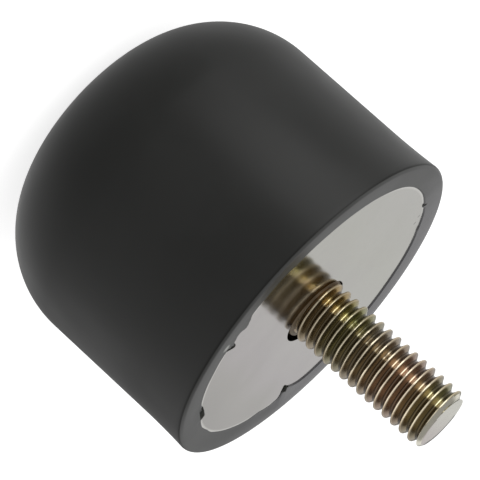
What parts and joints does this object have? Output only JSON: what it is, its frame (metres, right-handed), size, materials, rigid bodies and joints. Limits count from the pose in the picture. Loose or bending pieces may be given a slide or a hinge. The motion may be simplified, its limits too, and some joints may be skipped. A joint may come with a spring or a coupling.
{
  "type": "rubber buffer mount",
  "caption": "Cab mount: domed rubber buffer moulded around a steel plate, with one threaded stud standing out of the plate.",
  "frame": {"origin": "on the stud's axis, level with the rubber rim's face", "axes": "+Z along the stud, out of the plate; the rubber lies below"},
  "size_m": [0.0507, 0.0508, 0.0641],
  "materials": {
    "rubber": "moulded black rubber, satin",
    "plate_steel": "clear zinc plating, semi-gloss",
    "stud_steel": "yellow zinc plating, semi-gloss"
  },
  "bodies": {
    "root": {"rubber_body": "rubber", "mounting_plate": "plate_steel", "threaded_stud": "stud_steel"}
  },
  "joints": []
}
